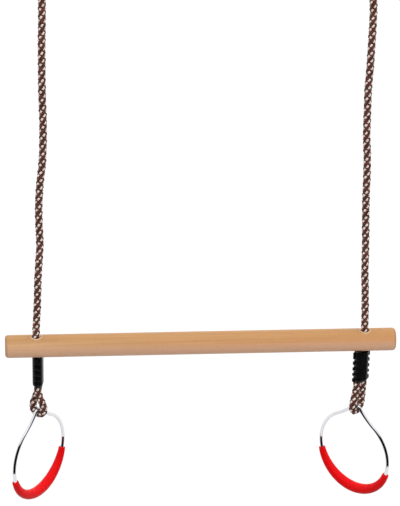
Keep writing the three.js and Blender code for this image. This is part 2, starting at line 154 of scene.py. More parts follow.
# A yarn's slow waves along the rope: height, radians a metre, and phase from yarn to yarn
YARN_LIFTS = ((0.00009, 61, 2.1), (0.00006, 157, 4.7))  # in and out
YARN_SWAY = (0.05, 37, 1)  # round the rope, in radians
YARN_SWELL = (0.05, 83, 1.7)  # share of its width

# A cut end's outline, as reach past the end and radius
SEALED_END = [
    (-0.0035, 0.0046), (-0.003, 0.0052), (-0.0012, 0.0053), (-0.0002, 0.0049),
    (0.0005, 0.0038), (0.0008, 0.0022), (0.0009, 0.0004),
]

# Rope holes: how the drill widens past its rim, and how far above the bar
DRILL_SIDES = 64
FLARE_STEPS = 6
FLARE_DEGREES = 15  # between its rim's rings
DRILL_SPREAD = 0.0011
DRILL_REACHES = (0.0003, 0.003)
HOLE_CUTS = (-0.016, -0.0105, 0.0105, 0.016)  # edge loops beside a hole, from its middle

NOTCH_DEPTHS = (0.0133, 0.0233, 0.0332, 0.0422)  # below the clamp's top
CLAMP_TOP_EDGE = 0.0008
FOOT_STEPS = 6
FIN_EDGE_SHARE = 0.3  # where a fin's rounded edge has its middle ring, of its radius

# Thimble: the half outline of its flank, as x and radius, its groove and its foot; then its bore's
# half outline, and the distance from the bore's centre to where its two legs meet
FLANK = [(-0.0065, 0), (-0.0065, 0.0176), (-0.0062, 0.0183), (-0.0058, 0.0185)]
GROOVE_RADIUS = 0.0055
GROOVE_DEGREES = range(-84, 85, 14)  # from the groove's floor
THIMBLE_FOOT = 0.032
BORE = [
    (-0.009, 0), (-0.009, 0.0132), (-0.0068, 0.0129), (-0.0059, 0.0119), (-0.0048, 0.0113),
    (-0.0035, 0.011),
]
BORE_RADIUS = 0.011
BORE_NECK = 0.025
LEG_LENGTH = 0.09
ROUND_STEPS = 30

# Hanging ring's weld: distance from its middle, and how far the wire's skin swells within it
WELD = ((0.0052, 0.00008), (0.0042, 0.0001), (0.003, 0.0001), (0.0016, -0.00006))

# Steps of a gym ring's three bends, and of half a grip
SEAT_STEPS = 12
SHOULDER_STEPS = 14
RING_STEPS = 72
GRIP_STEPS = 37
GRIP_SIDES = 40
GRIP_SLIP = 0.002  # radians within which a vertex counts as lying at a turn
GRIP_CLEARANCE = 0.0003
GRIP_EDGE = 0.0008
GRIP_BORE_EDGE = 0.00025

# Wood: the pith that the growth rings lie about, from the bar's middle, the rings' spacing and
# stray, and the stray of the painted light and shade on the bar's round, a paler, pinker underside
PITH_Y = -0.031
PITH_Z = 0.047
RING_SPACING = 0.0034
RING_WANDER = 0.011
PAINTED_LIGHT_WANDER = 0.012
END_TONE = (0.0042, 0.0006)  # from the bar's end, where its end grain's tone starts and is full
# Round each hole the wood is painted paler, a painted highlight of its rim catching the light
RIM_HIGHLIGHT = (0.0092, 0.0078)  # from a hole's middle, the same for its pale rim

SENSOR_WIDTH = 36  # of the camera, in millimetres
WHITE = (1, 1, 1, 1)

# World: directions between which its dark front part fades in, and how dark that is; then the
# floor's own grey, its glow as the camera sees it, and that glow's share
ROOM_FRONT = (-0.2, -0.3)
ROOM_FOOT = (-0.56, -0.52)
ROOM_TOP = (0.7, 0.62)
ROOM_DARKNESS = 0.99
FLOOR_GREY = 0.36
FLOOR_GLOW = 1.24
FLOOR_GLOW_SHARE = 0.8

# Lamps: place, width, height, power, and whether reflections show it
STAGE_MIDDLE = (0, 0, -0.6)
LAMPS = {
    "overhead_lamp": ((0.4, -1.1, 2.6), 2.6, 2.2, 8, True),
    "front_lamp": ((-0.3, -3.2, 1.0), 2.0, 1.6, 54, False),
    "right_lamp": ((3.0, -1.4, 0.6), 1.6, 2.4, 16, False),
}


def linear(red, green, blue):
    """A colour given as it shows on a screen, 0 to 255, in the linear values that shaders take."""
    shares = [value / 255 for value in (red, green, blue)]
    return tuple(s / 12.92 if s <= 0.04045 else ((s + 0.055) / 1.055) ** 2.4 for s in shares)


def size_field(name, description, default):
    return bpy.props.FloatProperty(
        name=name,
        description=description,
        default=default,
        min=0,
        precision=5,
        unit="LENGTH",
        subtype="DISTANCE",
    )


def angle_field(name, description, degrees):
    return bpy.props.FloatProperty(
        name=name,
        description=description,
        default=math.radians(degrees),
        unit="ROTATION",
        subtype="ANGLE",
    )


def colour_field(name, description, red, green, blue):
    return bpy.props.FloatVectorProperty(
        name=name,
        description=description,
        default=linear(red, green, blue),
        min=0,
        max=1,
        size=3,
        subtype="COLOR",
    )


class TrapezeSizes(bpy.types.PropertyGroup):
    bar_length: size_field("Bar length", "From end face to end face", bar_high.x - bar_low.x)
    bar_radius: size_field("Bar radius", "Of the round wooden bar", (bar_high.z - bar_low.z) / 2)
    bar_edge: size_field("Bar end rounding", "Radius at the bar's ends", 0.005)
    hole_radius: size_field("Rope hole radius", "Of the holes across the bar", 0.0068)
    hole_rim: size_field("Rope hole rim", "Rounding where a hole meets the surface", 0.0013)
    rope_diameter: size_field("Rope diameter", "Over the braid", 0.0104)
    yarn_circle: size_field("Yarn circle", "Mean radius at which the yarns run", 0.0041)
    yarn_wave: size_field("Yarn wave", "How far a yarn rises and dips as it crosses others", 0.0007)
    yarn_rise: size_field("Yarn rise", "By which yarns of one way ride above the others", 0.00035)
    yarn_width: size_field("Brown yarn width", "Across one flattened yarn", 0.0044)
    cream_width: size_field("Cream yarn width", "Across one flattened yarn", 0.0032)
    yarn_thickness: size_field("Yarn thickness", "Through one flattened yarn", 0.0017)
    core_radius: size_field("Core radius", "Of the rope's straight core", 0.0035)
    clamp_length: size_field("Clamp length", "From top to foot", 0.052)
    clamp_width: size_field("Clamp width", "Across both strands and the fins", 0.0288)
    sleeve_width: size_field("Clamp sleeve width", "Across both strands, less the fins", 0.0226)
    foot_rise: size_field("Clamp foot rise", "Over which the foot draws in", 0.005)
    foot_inset: size_field("Clamp foot inset", "By which the foot draws in", 0.0019)
    fin_thickness: size_field("Fin thickness", "Of the fins on the narrow sides", 0.003)
    fin_edge: size_field("Fin edge rounding", "Along both faces of a fin", 0.0008)
    fin_set_back: size_field("Fin set-back", "Of a fin's ends from the sleeve's", 0.0002)
    fin_foot_corner: size_field("Fin foot corner", "Rounding at a fin's foot", 0.003)
    fin_top_corner: size_field("Fin top corner", "Rounding at a fin's top", 0.0014)
    clamp_thickness: size_field("Clamp thickness", "Across one strand", 0.0156)
    strand_pitch: size_field("Strand pitch", "Between the two strands in a clamp", 0.0108)
    strand_bore: size_field("Strand bore radius", "Of the bores that squeeze the strands", 0.00475)
    notch_floor: size_field("Notch floor", "From the clamp's middle to a notch's floor", 0.01035)
    notch_reach: size_field("Notch reach", "Half the depth of the tool that cuts a notch", 0.0026)
    notch_height: size_field("Notch height", "Of that tool", 0.0059)
    hook_ring_radius: size_field("Hanging ring radius", "To the middle of its wire", 0.0225)
    hook_ring_wire: size_field("Hanging ring wire radius", "Of the welded ring's wire", 0.0025)
    ring_radius: size_field("Gym ring radius", "Of the round part, to its wire's middle", 0.0633)
    ring_wire: size_field("Gym ring wire radius", "Of the bent wire", 0.0028)
    ring_seat: size_field("Gym ring seat radius", "Of the bend that sits in the loop", 0.0083)
    shoulder_top: angle_field("Shoulder top slope", "Of the wire, below its seat", 49)
    shoulder_foot: angle_field("Shoulder foot slope", "Where the round part starts", 32.5)
    grip_reach: angle_field("Grip half angle", "That the grip covers each way from its middle", 74)
    grip_end: size_field("Grip end radius", "At either end", 0.005)
    grip_middle: size_field("Grip middle radius", "At its fattest", 0.0081)


class TrapezeColours(bpy.types.PropertyGroup):
    wood_light: colour_field("Wood, light", "Early wood between the grain lines", 226, 176, 122)
    wood_mid: colour_field("Wood, middle", "Most of the bar", 215, 160, 106)
    wood_dark: colour_field("Wood, dark", "Late wood and flecks", 188, 128, 78)
    yarn_brown: colour_field("Brown yarn", "Most of the rope", 120, 64, 50)
    # The yarns' dark colours are painted shade between their fibres, with a darker tone of their
    # own
    yarn_dark_and_shade: colour_field("Brown yarn, dark", "Between its fibres", 30, 9, 6)
    yarn_cream: colour_field("Cream yarn", "The flecks", 255, 248, 240)
    yarn_tan_and_shade: colour_field("Cream yarn, dark", "Between its fibres", 242, 214, 198)
    clamp_black: colour_field("Clamp plastic", "Clamps and thimbles", 4, 4, 5)
    grip_red: colour_field("Grip plastic", "Grips", 244, 16, 20)
    chrome: colour_field("Chrome", "Gym rings' wire", 226, 228, 232)
    zinc: colour_field("Zinc", "Hanging rings", 188, 191, 196)


class TrapezeView(bpy.types.PropertyGroup):
    elevation: angle_field("Camera elevation", "Above the horizon", 27.743)
    yaw: angle_field("Camera yaw", "Of the view, from +Y towards +X", 4.704)
    roll: angle_field("Camera roll", "Of the picture", 1.192)
    distance: size_field("Camera distance", "From the point it looks at", 4.0)
    lens: bpy.props.FloatProperty(
        name="Lens",
        description="Focal length in millimetres, for a 36 mm sensor",
        default=195.33,
        min=1,
        unit="CAMERA",
    )
    target: bpy.props.FloatVectorProperty(
        name="Target",
        description="Point that the camera looks at",
        default=(-0.0044, 0, -0.5596),
        size=3,
        subtype="TRANSLATION",
        unit="LENGTH",
    )
    floor_z: bpy.props.FloatProperty(
        name="Floor height",
        description="Height of the studio floor",
        default=-2.2,
        unit="LENGTH",
        subtype="DISTANCE",
    )


def sizes():
    return bpy.context.scene.trapeze_sizes


def colours():
    return bpy.context.scene.trapeze_colours


# ---------------------------------------------------------------- selection and placing


def fresh():
    """Leaves nothing selected, so that the next primitive stands alone."""
    active = bpy.context.object
    if active is not None and active.mode != "OBJECT":
        bpy.ops.object.mode_set(mode="OBJECT")
    bpy.ops.object.select_all(action="DESELECT")


def take(obj):
    """Makes obj the only selected object, and the active one."""
    fresh()
    obj.select_set(True)
    bpy.context.view_layer.objects.active = obj


def named(name):
    """Names the object that was just added, and sets its place into its mesh."""
    obj = bpy.context.object
    obj.name = name
    obj.data.name = name
    take(obj)
    bpy.ops.object.transform_apply(location=True, rotation=True, scale=True)
    return obj


def edit(obj):
    take(obj)
    bpy.ops.object.mode_set(mode="EDIT")


def leave_edit():
    bpy.ops.object.mode_set(mode="OBJECT")


def pick(obj, kind, test):
    """In edit mode, selects just the vertices, edges or faces that pass the test."""
    bpy.ops.mesh.select_mode(type=kind)
    bpy.ops.mesh.select_all(action="DESELECT")
    shape = bmesh.from_edit_mesh(obj.data)
    for part in {"VERT": shape.verts, "EDGE": shape.edges, "FACE": shape.faces}[kind]:
        if test(part):
            part.select_set(True)
    shape.select_flush_mode()
    bmesh.update_edit_mesh(obj.data)


def near(first, second):
    return abs(first - second) < NEAR


def both(test):
    """A test of an edge that both its ends have to pass."""
    return lambda edge: all(test(vertex.co) for vertex in edge.verts)


def everything():
    """In edit mode, selects the whole mesh."""
    bpy.ops.mesh.select_all(action="SELECT")


def extrude(step):
    bpy.ops.mesh.extrude_region_move(TRANSFORM_OT_translate={"value": step})


def resize(shares, middle):
    bpy.ops.transform.resize(value=shares, center_override=middle)


def bevel(offset, segments, affect="EDGES"):
    bpy.ops.mesh.bevel(offset=offset, segments=segments, profile=0.5, affect=affect)


def bisect(place, normal, **settings):
    """In edit mode, cuts the whole mesh along a plane."""
    everything()
    bpy.ops.mesh.bisect(plane_co=place, plane_no=normal, **settings)


def spin(steps, angle, centre, axis):
    """Spins what is selected, by a right-handed turn about the axis."""
    bpy.ops.mesh.spin(steps=steps, angle=-angle, center=centre, axis=axis)


def trace(name, points):
    """A new object of one chain of edges, extruded from point to point."""
    fresh()
    bpy.ops.mesh.primitive_plane_add(size=0.001, location=points[0])
    obj = named(name)
    edit(obj)
    bpy.ops.mesh.select_mode(type="VERT")
    everything()
    bpy.ops.mesh.merge(type="CENTER")
    for here, there in zip(points, points[1:]):
        extrude(Vector(there) - Vector(here))
    everything()
    return obj


def merge_and_face_out():
    everything()
    bpy.ops.mesh.remove_doubles(threshold=NEAR)
    bpy.ops.mesh.normals_make_consistent(inside=False)


def apply_modifier(obj, kind, **settings):
    take(obj)
    modifier = obj.modifiers.new(kind.title(), kind)
    for key, value in settings.items():
        setattr(modifier, key, value)
    bpy.ops.object.modifier_apply(modifier=modifier.name)


def discard(obj):
    bpy.data.objects.remove(obj, do_unlink=True)


def combine(obj, other, operation):
    """Joins another solid to obj or cuts it out, and removes it."""
    apply_modifier(obj, "BOOLEAN", operation=operation, solver="EXACT", object=other)
    discard(other)


def carve(obj, *cutters):
    for cutter in cutters:
        combine(obj, cutter, "DIFFERENCE")


def smooth(obj, degrees):
    take(obj)
    bpy.ops.object.shade_smooth_by_angle(angle=math.radians(degrees))


def even_normals(obj):
    apply_modifier(obj, "WEIGHTED_NORMAL", keep_sharp=True, weight=60)


def mirror_half(obj, axis):
    flags = [axis == "X", axis == "Y", axis == "Z"]
    apply_modifier(obj, "MIRROR", use_axis=flags, use_mirror_merge=True, merge_threshold=1e-5)
    edit(obj)
    merge_and_face_out()
    leave_edit()


def paint(obj, *materials):
    obj.data.materials.clear()
    for material in materials:
        obj.data.materials.append(material)


def put(pattern, name, place, turn):
    """A copy of a finished pattern with its own mesh, turned about Z and moved to its place."""
    take(pattern)
    bpy.ops.object.duplicate(linked=False)
    piece = bpy.context.object
    piece.name = name
    piece.data.name = name
    piece.location = place
    piece.rotation_euler = (0, 0, turn)
    take(piece)
    bpy.ops.object.transform_apply(location=True, rotation=True, scale=True)
    return piece


def attach(piece, body, slot, *nodes):
    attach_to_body(piece, body)
    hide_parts(*nodes)


# ---------------------------------------------------------------- materials


def sums(operation, swapped=False):
    """A method of Value that adds a Math node for two terms."""

    def method(self, other):
        terms = (other, self) if swapped else (self, other)
        return self.recipe.node("ShaderNodeMath", {"operation": operation}, dict(enumerate(terms)))

    return method


class Value:
    """A socket in a material's nodes that takes part in Python sums."""

    def __init__(self, recipe, socket):
        self.recipe = recipe
        self.socket = socket

    __add__, __radd__ = sums("ADD"), sums("ADD", swapped=True)
    __sub__, __rsub__ = sums("SUBTRACT"), sums("SUBTRACT", swapped=True)
    __mul__, __rmul__ = sums("MULTIPLY"), sums("MULTIPLY", swapped=True)
    __truediv__, __pow__ = sums("DIVIDE"), sums("POWER")

    def __abs__(self):
        return self.recipe.node("ShaderNodeMath", {"operation": "ABSOLUTE"}, {0: self})


class Recipe:
    """The nodes of one material or world."""

    def __init__(self, made):
        self.made = made
        self.tree = made.node_tree
        self.tree.nodes.clear()

    def node(self, kind, settings=None, values=None, out=0):
        """Adds a node: first its settings, then its sockets' values or links. Gives an output."""
        made = self.tree.nodes.new(kind)
        for key, value in (settings or {}).items():
            setattr(made, key, value)
        for key, value in (values or {}).items():
            if isinstance(value, Value):
                self.tree.links.new(value.socket, made.inputs[key])
            else:
                made.inputs[key].default_value = value
        return Value(self, made.outputs[out]) if made.outputs else None

    def place(self):
        return self.node("ShaderNodeTexCoord", out="Object")

    def stretched(self, where, scale, location=(0, 0, 0)):
        values = {"Vector": where, "Scale": scale, "Location": location}
        return self.node("ShaderNodeMapping", None, values)

    def local(self, where, location, turn):
        """The place as seen from a point, in directions turned about Z."""
        values = {"Vector": where, "Location": location, "Rotation": (0, 0, turn)}
        return self.node("ShaderNodeMapping", {"vector_type": "TEXTURE"}, values)

    def parts(self, vector):
        outs = ("X", "Y", "Z")
        return [self.node("ShaderNodeSeparateXYZ", None, {0: vector}, out=o) for o in outs]

    def noise(self, where, scale, detail=2.0, rough=0.5):
        values = {"Vector": where, "Scale": scale, "Detail": detail, "Roughness": rough}
        return self.node("ShaderNodeTexNoise", None, values, out="Fac")

    def streaky(self, where, scale, detail=2.0, rough=0.5):
        """Noise with a scale of its own along each axis."""
        return self.noise(self.stretched(where, scale), 1.0, detail, rough)

    def step(self, value, low, high):
        """A smooth step from 0 to 1 as value goes from low to high."""
        values = {"Value": value, "From Min": low, "From Max": high}
        return self.node("ShaderNodeMapRange", {"interpolation_type": "SMOOTHSTEP"}, values)

    def mix(self, first, second, share):
        """A colour between two, at share."""
        values = {0: share}
        for key, colour in ((6, first), (7, second)):
            values[key] = colour if isinstance(colour, Value) else (*colour, 1)
        return self.node("ShaderNodeMix", {"data_type": "RGBA"}, values, out=2)

    def bump(self, height, distance, strength=1.0):
        values = {"Height": height, "Distance": distance, "Strength": strength}
        return self.node("ShaderNodeBump", None, values)

    def surface(self, **values):
        """Ends a material with its shader; names are sockets' names with _ for a space."""
        sockets = {key.replace("_", " "): value for key, value in values.items()}
        shader = self.node("ShaderNodeBsdfPrincipled", None, sockets)
        self.node("ShaderNodeOutputMaterial", None, {"Surface": shader})
        return self.made


def material(name):
    made = bpy.data.materials.new(name)
    made.use_nodes = True
    return Recipe(made)


def across(first, second):
    """The length of two legs at right angles."""
    return (first * first + second * second) ** 0.5


def beech():
    """Sanded beech along the bar, with growth rings about a pith outside it and fine flecks."""
    recipe = material("beech")
    shades = colours()
    centred = recipe.stretched(recipe.place(), (1, 1, 1), (0, 0, -BAR_Z))
    x, y, z = recipe.parts(centred)
    wander = recipe.streaky(centred, (2.2, 22, 22))
    streaks = recipe.streaky(centred, (6, 420, 420), 4.0, 0.62)
    fine = recipe.streaky(centred, (34, 2300, 2300), 3.0, 0.6)
    patches = recipe.streaky(centred, (5.5, 30, 30), 1.5)
    flecks = recipe.step(recipe.streaky(centred, (230, 2600, 2600), 1.0, 0.4), 0.64, 0.72)
    from_pith = across(y - PITH_Y, z - PITH_Z)
    rings = (from_pith + wander * RING_WANDER) / RING_SPACING
    ring = recipe.node("ShaderNodeMath", {"operation": "FRACT"}, {0: rings})
    late = recipe.step(ring, 0.3, 0.93) - recipe.step(ring, 0.93, 1.0)
    half = sizes().bar_length / 2
    end = recipe.step(abs(x), *(half - depth for depth in END_TONE))
    # The height on the bar's round at which its painted light and shade change, wavering with the
    # grain
    above = z + (wander - 0.5) * PAINTED_LIGHT_WANDER
    rim = recipe.step(across(abs(x) - HOLE_X, y), *RIM_HIGHLIGHT)
    tone = recipe.mix(shades.wood_light, shades.wood_mid, recipe.step(streaks, 0.34, 0.6))
    for colour, share in (
        (shades.wood_dark, late * 0.46),
        (linear(226, 158, 102), recipe.step(patches, 0.45, 0.7) * 0.6),
        (linear(212, 166, 112), recipe.step(patches, 0.5, 0.3) * 0.5),
        # Painted light and shade: the lower half paler and pinker, a band along the top a deeper
        # orange
        (linear(240, 190, 156), recipe.step(above, 0.013, 0.0) * 0.75),
        (linear(192, 138, 76), recipe.step(above, 0.006, 0.016) * 0.6),
        (linear(158, 104, 66), flecks * 0.4),
        (linear(150, 100, 62), end * (0.5 + late * 0.3)),
        # Painted highlight: a pale rim round each hole
        (linear(250, 222, 190), rim * 0.6),
    ):
        tone = recipe.mix(tone, colour, share)
    return recipe.surface(
        Base_Color=tone,
        Roughness=0.44 + fine * 0.16 + flecks * 0.1 + end * 0.15,
        IOR=1.5,
        Coat_Weight=0.22,
        Coat_Roughness=0.3,
        Normal=recipe.bump(fine * 0.5 + streaks * 0.5 - flecks * 0.6, 0.00012, 0.7),
    )


def yarn(name, light, dark, sheen):
    """A flattened bundle of fine twisted fibres, on the strand's own map."""
    recipe = material(name)
    along = recipe.node("ShaderNodeUVMap", {"uv_map": "yarn"})
    u, v, _ = recipe.parts(along)
    twisted = u + v * YARN_TWIST
    fibre_place = recipe.node("ShaderNodeCombineXYZ", None, {0: twisted * 26, 1: v * 150})
    fibre = recipe.noise(fibre_place, 1.0, 3.0, 0.6)
    tone_place = recipe.node("ShaderNodeCombineXYZ", None, {0: u * 3, 1: v * 70})
    drift = recipe.noise(tone_place, 1.0)
    wave_turn = twisted * (2 * math.pi * YARN_PLIES)
    wave = recipe.node("ShaderNodeMath", {"operation": "SINE"}, {0: wave_turn})
    ridge = wave * 0.5 + 0.5
    # Painted shade: the dark colour falls between the fibres and in the troughs between the plies,
    # and drift adds a tone that varies at random
    share = recipe.step(fibre + ridge * 0.16 + drift * 0.7, 0.72, 1.1)
    return recipe.surface(
        Base_Color=recipe.mix(dark, light, share),
        Roughness=0.62 + fibre * 0.25,
        IOR=1.45,
        Sheen_Weight=sheen,
        Sheen_Roughness=0.4,
        Normal=recipe.bump(ridge * 0.4 + fibre * 0.6, 0.00016, 0.8),
    )


def rope_core():
    recipe = material("rope_core")
    fibre = recipe.streaky(recipe.place(), (900, 900, 130), 3.0)
    return recipe.surface(
        Base_Color=recipe.mix(linear(22, 11, 8), linear(58, 34, 27), fibre),
        Roughness=0.8,
        Normal=recipe.bump(fibre, 0.0002),
    )


def melted_yarn():
    """A rope's cut end, sealed by heat."""
    recipe = material("melted_yarn")
    blobs = recipe.noise(recipe.place(), 900, 3.0)
    return recipe.surface(
        Base_Color=recipe.mix(linear(30, 15, 10), linear(92, 60, 46), blobs),
        Roughness=0.32 + blobs * 0.3,
        Normal=recipe.bump(blobs, 0.0004),
    )


def black_plastic():
    """Moulded satin plastic with faint flow marks and rubbed spots."""
    recipe = material("moulded_black")
    place = recipe.place()
    grain = recipe.noise(place, 5200, 2.0)
    flow = recipe.streaky(place, (120, 120, 45), 3.0)
    rubbed = recipe.step(recipe.noise(place, 310, 4.0, 0.7), 0.56, 0.72)
    return recipe.surface(
        Base_Color=recipe.mix(
            colours().clamp_black, linear(22, 22, 25), rubbed * 0.5 + flow * 0.1
        ),
        Roughness=0.14 + flow * 0.14 + rubbed * 0.2,
        IOR=1.49,
        Specular_IOR_Level=0.14,
        Normal=recipe.bump(grain + flow * 2.0, 0.00003, 0.6),
    )


def red_plastic(name, centre, turn):
    """Glossy plastic moulded round the wire; its parting line lies in the ring's plane."""
    recipe = material(name)
    place = recipe.place()
    skin = recipe.noise(place, 260, 1.0)
    dust = recipe.noise(place, 3600, 2.0)
    shade = recipe.noise(place, 60, 2.0)
    off_plane = abs(recipe.parts(recipe.local(place, centre, turn))[1])
    seam = recipe.step(off_plane, 0.00028, 0.00008)
    return recipe.surface(
        Base_Color=recipe.mix(colours().grip_red, linear(230, 12, 18), shade * 0.3),
        Roughness=0.3 + dust * 0.02 + seam * 0.08,
        IOR=1.5,
        Specular_IOR_Level=0.08,
        Normal=recipe.bump(skin * 0.15 + seam, 0.00001, 0.1),
    )


def chrome():
    """Bright plated wire, with a faint drawn texture and small scuffs."""
    recipe = material("bright_chrome")
    place = recipe.place()
    ripple = recipe.noise(place, 240, 2.0)
    scuff = recipe.step(recipe.noise(place, 1500, 3.0, 0.7), 0.6, 0.75)
    return recipe.surface(
        Base_Color=recipe.mix(colours().chrome, linear(196, 199, 205), scuff * 0.5),
        Metallic=1.0,
        Roughness=0.045 + scuff * 0.14,
        Normal=recipe.bump(ripple, 0.00008, 0.35),
    )


def zinc():
    """Satin zinc plating, a little mottled."""
    recipe = material("satin_zinc")
    place = recipe.place()
    mottle = recipe.noise(place, 420, 4.0, 0.65)
    speck = recipe.noise(place, 3000, 2.0)
    return recipe.surface(
        Base_Color=recipe.mix(colours().zinc, linear(146, 150, 156), mottle),
        Metallic=1.0,
        Roughness=0.26 + mottle * 0.22,
        Normal=recipe.bump(speck + mottle, 0.00008, 0.6),
    )


# ---------------------------------------------------------------- rope


def along_curve(points, step):
    """Evenly spaced places on the centripetal Catmull-Rom curve through the points."""
    knots = np.array(points, float)
    knots = np.vstack([2 * knots[0] - knots[1], knots, 2 * knots[-1] - knots[-2]])
    shares = np.linspace(0, 1, SPAN_STEPS, endpoint=False)[:, None]
    fine = []
    for before, here, there, after in zip(knots, knots[1:], knots[2:], knots[3:]):
        first, mid, last = (
            max(np.linalg.norm(b - a) ** 0.5, 1e-4)
            for a, b in ((before, here), (here, there), (there, after))
        )
        leaving = (here - before) / first - (there - before) / (first + mid) + (there - here) / mid
        arriving = (there - here) / mid - (after - here) / (mid + last) + (after - there) / last
        leaving, arriving = leaving * mid, arriving * mid
        cubic = 2 * here - 2 * there + leaving + arriving
        square = -3 * here + 3 * there - 2 * leaving - arriving
        fine.append(here + leaving * shares + square * shares**2 + cubic * shares**3)
    fine = np.vstack([*fine, knots[-2]])
    reached = np.concatenate([[0], np.cumsum(np.linalg.norm(np.diff(fine, axis=0), axis=1))])
    count = max(2, round(reached[-1] / step) + 1)
    even = np.linspace(0, reached[-1], count)
    return np.stack([np.interp(even, reached, fine[:, i]) for i in range(3)], axis=1)


def unit(vectors):
    return vectors / np.maximum(np.linalg.norm(vectors, axis=-1, keepdims=True), 1e-12)


def carried_frames(line, first_normal):
    """Tangents and two normals along a line, with no more turn than the line itself has."""
    tangents = unit(np.gradient(line, axis=0))
    normal = np.array(first_normal, float)
    normal = unit(normal - normal.dot(tangents[0]) * tangents[0])
    normals = [normal]
    for i in range(len(line) - 1):
        chord = line[i + 1] - line[i]
        square = chord.dot(chord)
        flipped = normal - 2 / square * chord.dot(normal) * chord
        leaning = tangents[i] - 2 / square * chord.dot(tangents[i]) * chord
        change = tangents[i + 1] - leaning
        normal = flipped - 2 / max(change.dot(change), 1e-18) * change.dot(flipped) * change
        normals.append(normal)
    normals = unit(np.array(normals))
    return tangents, normals, np.cross(tangents, normals)


def tube(sections):
    """Vertices and faces of a skin over rings of points, closed at both ends."""
    rings, sides, _ = sections.shape
    ring = np.arange(rings - 1)[:, None] * sides
    here = np.arange(sides)[None, :]
    after = (here + 1) % sides
    quads = np.stack([ring + here, ring + after, ring + sides + after, ring + sides + here], -1)
    faces = [tuple(q) for q in quads.reshape(-1, 4).tolist()]
    faces.append(tuple(reversed(range(sides))))
    faces.append(tuple((rings - 1) * sides + k for k in range(sides)))
    return sections.reshape(-1, 3), faces


def braided_rope(name, line, braid, sealed):
    """A braid along a line of even steps: half its yarns wind each way, one over one.

    sealed is the end that is sealed by heat, 0 or -1.
    """
    size = sizes()
    squeeze = in_clamps(line)
    steps = np.linalg.norm(np.diff(line, axis=0), axis=1)
    reached = np.concatenate([[0], np.cumsum(steps)])
    tangents, normals, sideways = carried_frames(line, (1, 0, 0))
    turn = 2 * np.pi * (reached + braid["shift"]) / braid["lay"]
    drift = braid["phase"] - 2 * np.pi * reached / braid["drift"]

    def stray(number, height, per_metre, phase):
        return height * np.sin(reached * per_metre + number * phase)

    skins = []
    each_way = YARNS // 2
    for number in range(YARNS):
        way = 1 if number < each_way else -1
        angle = way * turn + 2 * np.pi * (number % each_way) / each_way
        unevenness = sum(stray(number, *lift) for lift in YARN_LIFTS)
        rise = size.yarn_rise + size.yarn_wave * np.cos(each_way * angle)
        radius = size.yarn_circle + way * rise + unevenness
        facing = angle + drift + stray(number, *YARN_SWAY)
        outward = np.cos(facing)[:, None] * normals + np.sin(facing)[:, None] * sideways
        centre = line + (radius * squeeze)[:, None] * outward
        heading = unit(np.gradient(centre, axis=0))
        outward = unit(outward - (outward * heading).sum(1)[:, None] * heading)
        beside = np.cross(heading, outward)
        cream = way > 0 and number % 2 == 0
        width = size.cream_width if cream else size.yarn_width
        swell = 1 + stray(number, *YARN_SWELL)
        half_width = (width / 2 * swell * squeeze)[:, None, None]
        half_depth = (size.yarn_thickness / 2 * squeeze)[:, None, None]
        cosines, sines = round_corners(YARN_SIDES)
        section = centre[:, None, :] + beside[:, None, :] * cosines * half_width
        section = section + outward[:, None, :] * sines * half_depth
        skins.append((section, CREAM if cream else BROWN, number + YARN_MAP_SHIFT))

    cosines, sines = round_corners(CORE_SIDES)
    spokes = cosines * normals[:, None, :] + sines * sideways[:, None, :]
    core = line[:, None, :] + spokes * (size.core_radius * squeeze)[:, None, None]
    skins.append((core, CORE, YARNS))
    outward = tangents[sealed] * (1 if sealed else -1)
    cap = [line[sealed] + outward * past + spokes[sealed] * radius for past, radius in SEALED_END]
    cap = np.stack(cap)
    skins.append((cap if sealed else cap[:, ::-1], MELTED, YARNS + 1))
    return rope_object(name, skins, reached)


def round_corners(sides):
    """Cosines and sines of a round section's corners, to multiply directions by."""
    corners = 2 * np.pi * np.arange(sides) / sides
    return np.cos(corners)[None, :, None], np.sin(corners)[None, :, None]


def rope_object(name, skins, reached):
    """An object of several skins, with the map that the yarns' fibres follow.

    A skin is its rings of points, its material's slot and where it starts across the map. reached
    is how far along the rope each ring lies.
    """
    vertices, faces, marks, places = [], [], [], []
    start = 0
    for sections, mark, offset in skins:
        points, skin = tube(sections)
        vertices.append(points)
        faces.extend(tuple(start + i for i in face) for face in skin)
        marks.extend([mark] * len(skin))
        start += len(points)
        rings, sides, _ = sections.shape
        cells = np.arange(sides)[:, None]
        corners = np.empty((rings - 1, sides, 4, 2))
        corners[..., 0] = (cells + [0, 1, 1, 0]) / sides + offset
        corners[..., :2, 1] = reached[: rings - 1, None, None]
        corners[..., 2:, 1] = reached[1:rings, None, None]
        ends = [(offset, reached[i]) for i in (0, rings - 1) for _ in cells]
        places += [corners.reshape(-1, 2), ends]

    mesh = bpy.data.meshes.new(name)
    mesh.from_pydata(np.vstack(vertices).tolist(), [], faces)
    for made in rope_materials():
        mesh.materials.append(made)
    mesh.polygons.foreach_set("material_index", np.array(marks, np.int32))
    mesh.polygons.foreach_set("use_smooth", np.ones(len(faces), bool))
    yarn_map = mesh.uv_layers.new(name="yarn")
    yarn_map.data.foreach_set("uv", np.vstack(places).reshape(-1).astype(np.float32))
    mesh.validate()
    rope = bpy.data.objects.new(name, mesh)
    bpy.context.scene.collection.objects.link(rope)
    edit(rope)
    everything()
    bpy.ops.mesh.normals_make_consistent(inside=False)
    leave_edit()
    return rope


def rope_materials():
    """The braid's materials in the order of their slots, made once."""
    names = ("brown_yarn", "cream_yarn", "rope_core", "melted_yarn")
    found = [bpy.data.materials.get(name) for name in names]
    if all(found):
        return found
    shades = colours()
    return [
        yarn("brown_yarn", shades.yarn_brown, shades.yarn_dark_and_shade, 0.25),
        yarn("cream_yarn", shades.yarn_cream, shades.yarn_tan_and_shade, 0.2),
        rope_core(),
        melted_yarn(),
    ]


def plastic_material():
    return bpy.data.materials.get("moulded_black") or black_plastic()


